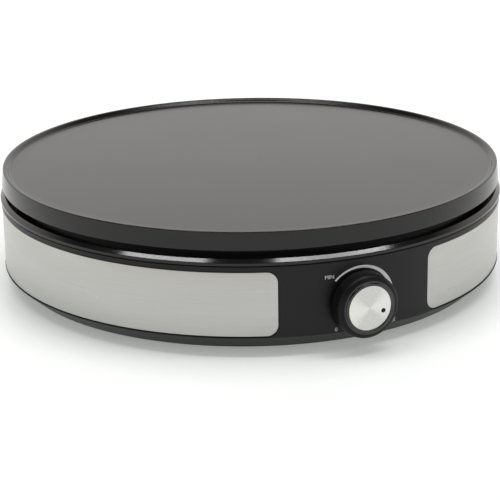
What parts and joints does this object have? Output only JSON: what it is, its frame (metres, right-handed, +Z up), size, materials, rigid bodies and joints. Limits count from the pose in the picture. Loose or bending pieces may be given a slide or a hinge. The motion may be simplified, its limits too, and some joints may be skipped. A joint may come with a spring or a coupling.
{
  "type": "electric crepe maker",
  "caption": "Round electric crepe maker with a raised lipped non-stick plate, a black drum housing with brushed steel side panels and one thermostat knob.",
  "frame": {"origin": "on the cooking plate's axis at table level, in the plane of the feet", "axes": "+Z up, the control knob faces -Y and the cord entry faces +Y, +X to the right of someone facing the knob"},
  "size_m": [0.3858, 0.4136, 0.0903],
  "materials": {
    "nonstick": "cast aluminium under a fine satin non-stick coating",
    "gloss_black": "glossy moulded black",
    "satin_black": "satin moulded black",
    "underside_black": "matt moulded black",
    "panel_steel": "stainless steel, brushed along the wall",
    "knob_black": "glossy moulded black",
    "knob_aluminium": "spun aluminium with turning marks",
    "sheathed_steel": "heat-tinted steel sheath",
    "zinc_steel": "bright zinc plating",
    "aluminised_steel": "plain rolled, slightly dull",
    "copper": "drawn copper",
    "brass": "machined brass",
    "ceramic": "unglazed steatite ceramic",
    "rubber": "soft moulded rubber",
    "lead_brown": "silicone insulation",
    "lead_blue": "silicone insulation",
    "lead_green": "silicone insulation, green and yellow"
  },
  "bodies": {
    "base": {"bottom_cover": "underside_black", "bulb_clip": "zinc_steel", "bulb_clip_screw": "zinc_steel", "capillary_tube": "copper", "cooking_plate": "nonstick", "cord_gland": "satin_black", "cover_screws": "zinc_steel", "cutout_screws": "zinc_steel", "cutout_tabs": "brass", "earth_nut": "zinc_steel", "earth_screw": "zinc_steel", "earth_tag": "brass", "element_pins": "zinc_steel", "foot_front_left": "rubber", "foot_front_right": "rubber", "foot_rear_left": "rubber", "foot_rear_right": "rubber", "foot_screws": "zinc_steel", "gland_nut": "satin_black", "heat_shield": "aluminised_steel", "heating_element": "sheathed_steel", "housing_shell": "satin_black", "lead_earth": "lead_green", "lead_element": "lead_brown", "lead_live": "lead_brown", "lead_neutral": "lead_blue", "lead_switched": "lead_brown", "plate_screws": "zinc_steel", "plate_spacers": "zinc_steel", "rim_ring": "gloss_black", "sensor_bulb": "copper", "shield_screws": "zinc_steel", "side_panel_left": "panel_steel", "side_panel_right": "panel_steel", "terminal_block": "ceramic", "terminal_block_screw": "zinc_steel", "terminal_sleeves": "brass", "thermal_cutout": "zinc_steel", "thermostat_body": "ceramic", "thermostat_bracket": "zinc_steel", "thermostat_screws": "zinc_steel", "thermostat_tabs": "brass"},
    "knob": {"control_knob": "knob_black", "knob_insert": "knob_aluminium", "knob_clip": "zinc_steel", "thermostat_shaft": "zinc_steel"}
  },
  "joints": [
    {"name": "knob_turn", "type": "hinge", "parent": "base", "child": "knob", "pos_m": [0, -0.1924, 0.0348], "axis": [0, -1, 0], "range_deg": [-11, 241]}
  ]
}
